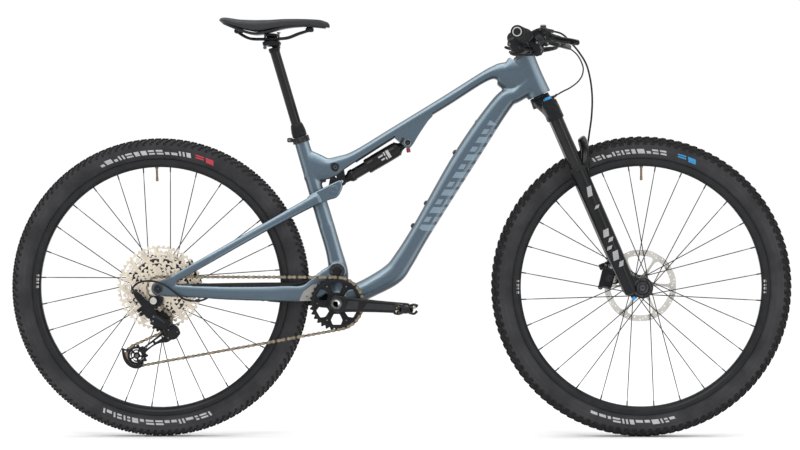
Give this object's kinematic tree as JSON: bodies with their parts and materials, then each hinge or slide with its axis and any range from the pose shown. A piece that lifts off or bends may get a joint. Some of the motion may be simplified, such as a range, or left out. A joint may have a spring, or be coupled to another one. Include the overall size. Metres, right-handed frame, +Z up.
{
  "type": "full-suspension mountain bike",
  "caption": "Full-suspension cross-country mountain bike with a suspension fork, a linkage-driven rear shock, a wide-range cassette, disc brakes and a height-adjustable saddle post.",
  "frame": {"origin": "on the ground under the middle of the bike's length, midway across its width", "axes": "+X forward, +Y to the bike's left, away from the drivetrain, +Z up"},
  "size_m": [1.937, 0.7654, 1.0409],
  "materials": {
    "black_alloy": "black anodised",
    "blue_anodised": "anodised",
    "carbon": "carbon composite",
    "cassette_metal": "warm satin",
    "chain_metal": "worn satin",
    "frame_carbon": "metallic slate painted composite",
    "gloss_black": "gloss black",
    "grip_rubber": "matte",
    "gunmetal": "dark anodised",
    "hose_rubber": "semi gloss",
    "red_anodised": "anodised",
    "rotor_steel": "bright",
    "saddle_cover": "matte black",
    "spoke_steel": "black stainless",
    "tyre_rubber": "knobbly"
  },
  "bodies": {
    "frame": {"main_frame": "frame_carbon", "seat_clamp": "black_alloy", "dropper_outer_tube": "black_alloy", "bottom_bracket": "black_alloy", "chain": "chain_metal", "headset_cover": "black_alloy"},
    "seat": {"dropper_stanchion": "black_alloy", "saddle_rails": "black_alloy", "saddle": "saddle_cover"},
    "swingarm": {"chainstays": "frame_carbon", "rear_axle": "black_alloy", "rear_caliper": "black_alloy", "derailleur_hanger_knuckle": "black_alloy"},
    "seatstay_unit": {"seatstays": "frame_carbon"},
    "rocker_link": {"rocker": "gunmetal"},
    "shock_body": {"shock_can": "black_alloy"},
    "shock_rod": {"shock_shaft": "black_alloy"},
    "rebound_dial": {"shock_rebound_dial": "red_anodised"},
    "rear_wheel": {"rear_tyre": "tyre_rubber", "rear_rim": "carbon", "rear_hub": "black_alloy", "rear_spokes_right": "spoke_steel", "rear_spokes_left": "spoke_steel", "rear_rotor": "rotor_steel"},
    "cassette_unit": {"cassette": "cassette_metal"},
    "cranks": {"chainring": "black_alloy", "crank_right": "black_alloy", "crank_left": "black_alloy"},
    "right_pedal": {"pedal_right": "black_alloy"},
    "left_pedal": {"pedal_left": "black_alloy"},
    "derailleur_arm": {"derailleur_link": "black_alloy"},
    "derailleur_knuckle": {"derailleur_cage_knuckle": "black_alloy"},
    "derailleur_cage_unit": {"derailleur_cage": "black_alloy"},
    "guide_wheel": {"guide_pulley": "carbon"},
    "tension_wheel": {"tension_pulley": "carbon"},
    "steerer": {"fork_uppers": "gloss_black", "stem": "black_alloy", "handlebar": "carbon", "grip_right": "grip_rubber", "grip_left": "grip_rubber", "brake_body_right": "black_alloy", "brake_body_left": "black_alloy", "shifter_body": "carbon", "front_brake_hose": "hose_rubber", "lockout_cable": "hose_rubber"},
    "fork_dial": {"fork_lockout_dial": "blue_anodised"},
    "fork_lower_legs": {"fork_lowers": "gloss_black", "front_axle": "black_alloy", "front_caliper": "black_alloy"},
    "front_wheel": {"front_tyre": "tyre_rubber", "front_rim": "carbon", "front_hub": "black_alloy", "front_spokes_right": "spoke_steel", "front_spokes_left": "spoke_steel", "front_rotor": "rotor_steel"},
    "right_brake_blade": {"brake_lever_right": "black_alloy"},
    "left_brake_blade": {"brake_lever_left": "black_alloy"},
    "shift_paddle": {"shift_lever": "carbon"},
    "dropper_paddle": {"dropper_lever": "carbon"},
    "lockout_paddle": {"lockout_lever": "carbon"}
  },
  "joints": [
    {"name": "rear_suspension", "type": "hinge", "parent": "frame", "child": "swingarm", "pos_m": [-0.1579, 0, 0.4123], "axis": [0, 1, 0], "range_deg": [0, 15], "stiffness_Nm_per_rad": 700, "springref_deg": -5.73, "deforming": ["chain"]},
    {"name": "seatstay_flex", "type": "hinge", "parent": "swingarm", "child": "seatstay_unit", "pos_m": [-0.56, 0, 0.392], "axis": [0, 1, 0], "range_deg": [-2.2, 0.1]},
    {"name": "rocker_pivot", "type": "hinge", "parent": "frame", "child": "rocker_link", "pos_m": [-0.156, 0, 0.677], "axis": [0, 1, 0], "range_deg": [-45, 0.1]},
    {"name": "shock_pivot", "type": "hinge", "parent": "frame", "child": "shock_body", "pos_m": [0.0174, 0, 0.7301], "axis": [0, 1, 0], "range_deg": [-0.1, 1]},
    {"name": "shock_stroke", "type": "slide", "parent": "shock_body", "child": "shock_rod", "axis": [0.862, 0, 0.5069], "range_m": [-0.0002, 0.0337]},
    {"name": "rebound_adjust", "type": "hinge", "parent": "shock_body", "child": "rebound_dial", "pos_m": [0.019, 0, 0.709], "axis": [-0.1455, 0, 0.9894], "range_deg": [-170, 170]},
    {"name": "rear_wheel_spin", "type": "hinge", "parent": "swingarm", "child": "rear_wheel", "pos_m": [-0.5975, 0, 0.371], "axis": [0, 1, 0], "continuous": true},
    {"name": "crank_spin", "type": "hinge", "parent": "frame", "child": "cranks", "pos_m": [-0.1581, 0, 0.333], "axis": [0, 1, 0], "continuous": true},
    {"name": "cassette_spin", "type": "hinge", "parent": "swingarm", "child": "cassette_unit", "pos_m": [-0.5975, 0, 0.371], "axis": [0, 1, 0], "continuous": true},
    {"name": "right_pedal_spin", "type": "hinge", "parent": "cranks", "child": "right_pedal", "pos_m": [0.01408, 0, 0.32247], "axis": [0, 1, 0], "continuous": true},
    {"name": "left_pedal_spin", "type": "hinge", "parent": "cranks", "child": "left_pedal", "pos_m": [-0.33028, 0, 0.34353], "axis": [0, 1, 0], "continuous": true},
    {"name": "derailleur_swing", "type": "hinge", "parent": "swingarm", "child": "derailleur_arm", "pos_m": [-0.611, -0.0923, 0.297], "axis": [0.51, 0, 0.8602], "range_deg": [-10, 10]},
    {"name": "derailleur_parallel", "type": "hinge", "parent": "derailleur_arm", "child": "derailleur_knuckle", "pos_m": [-0.584, -0.0873, 0.281], "axis": [0.51, 0, 0.8602], "range_deg": [-10, 10]},
    {"name": "cage_swing", "type": "hinge", "parent": "derailleur_knuckle", "child": "derailleur_cage_unit", "pos_m": [-0.5638, 0, 0.2639], "axis": [0, 1, 0], "range_deg": [-45, 0], "stiffness_Nm_per_rad": 0.4, "springref_deg": 22.92},
    {"name": "guide_pulley_spin", "type": "hinge", "parent": "derailleur_cage_unit", "child": "guide_wheel", "pos_m": [-0.592, 0, 0.2899], "axis": [0, 1, 0], "continuous": true},
    {"name": "tension_pulley_spin", "type": "hinge", "parent": "derailleur_cage_unit", "child": "tension_wheel", "pos_m": [-0.6524, 0, 0.2047], "axis": [0, 1, 0], "continuous": true},
    {"name": "dropper_post", "type": "slide", "parent": "frame", "child": "seat", "axis": [-0.2823, 0, 0.9593], "range_m": [-0.15, 0]},
    {"name": "steering", "type": "hinge", "parent": "frame", "child": "steerer", "pos_m": [0.3435, 0, 0.8432], "axis": [-0.3987, 0, 0.9171], "range_deg": [-60, 60]},
    {"name": "fork_travel", "type": "slide", "parent": "steerer", "child": "fork_lower_legs", "axis": [-0.3987, 0, 0.9171], "range_m": [0, 0.105], "stiffness_N_per_m": 6000, "springref_m": -0.03, "deforming": ["front_brake_hose"]},
    {"name": "front_wheel_spin", "type": "hinge", "parent": "fork_lower_legs", "child": "front_wheel", "pos_m": [0.596, 0, 0.3725], "axis": [0, 1, 0], "continuous": true},
    {"name": "right_brake", "type": "hinge", "parent": "steerer", "child": "right_brake_blade", "pos_m": [0.361, -0.25, 0.993], "axis": [0, 0, 1], "range_deg": [-18, 0], "stiffness_Nm_per_rad": 0.8, "springref_deg": 8.59},
    {"name": "left_brake", "type": "hinge", "parent": "steerer", "child": "left_brake_blade", "pos_m": [0.361, 0.25, 0.993], "axis": [0, 0, 1], "range_deg": [0, 18], "stiffness_Nm_per_rad": 0.8, "springref_deg": -8.59},
    {"name": "shift", "type": "hinge", "parent": "steerer", "child": "shift_paddle", "pos_m": [0.34, -0.204, 0.946], "axis": [0.5073, 0.2301, -0.8305], "range_deg": [-15, 0], "stiffness_Nm_per_rad": 0.3, "springref_deg": 6.88},
    {"name": "dropper_release", "type": "hinge", "parent": "steerer", "child": "dropper_paddle", "pos_m": [0.322, 0.206, 0.958], "axis": [0.2874, -0.2153, -0.9333], "range_deg": [0, 15], "stiffness_Nm_per_rad": 0.3, "springref_deg": -6.88},
    {"name": "lockout", "type": "hinge", "parent": "steerer", "child": "lockout_paddle", "pos_m": [0.316, 0.186, 0.962], "axis": [0, 1, 0], "range_deg": [-12, 0]},
    {"name": "fork_dial_turn", "type": "hinge", "parent": "steerer", "child": "fork_dial", "pos_m": [0.36268, -0.067, 0.83671], "axis": [-0.3987, 0, 0.9171], "range_deg": [0, 60]}
  ],
  "couplings": [
    {"joint": "seatstay_flex", "follows": "rear_suspension", "ratio": -0.14124},
    {"joint": "rocker_pivot", "follows": "rear_suspension", "ratio": -2.9836},
    {"joint": "shock_pivot", "follows": "rear_suspension", "ratio": 0.0639},
    {"joint": "shock_stroke", "follows": "rear_suspension", "m_per_rad": 0.12823},
    {"joint": "cassette_spin", "follows": "crank_spin", "ratio": 2.2857},
    {"joint": "derailleur_parallel", "follows": "derailleur_swing", "ratio": -1},
    {"joint": "guide_pulley_spin", "follows": "crank_spin", "ratio": -2.4615},
    {"joint": "tension_pulley_spin", "follows": "crank_spin", "ratio": 2.4615},
    {"joint": "fork_dial_turn", "follows": "lockout", "ratio": -5}
  ]
}
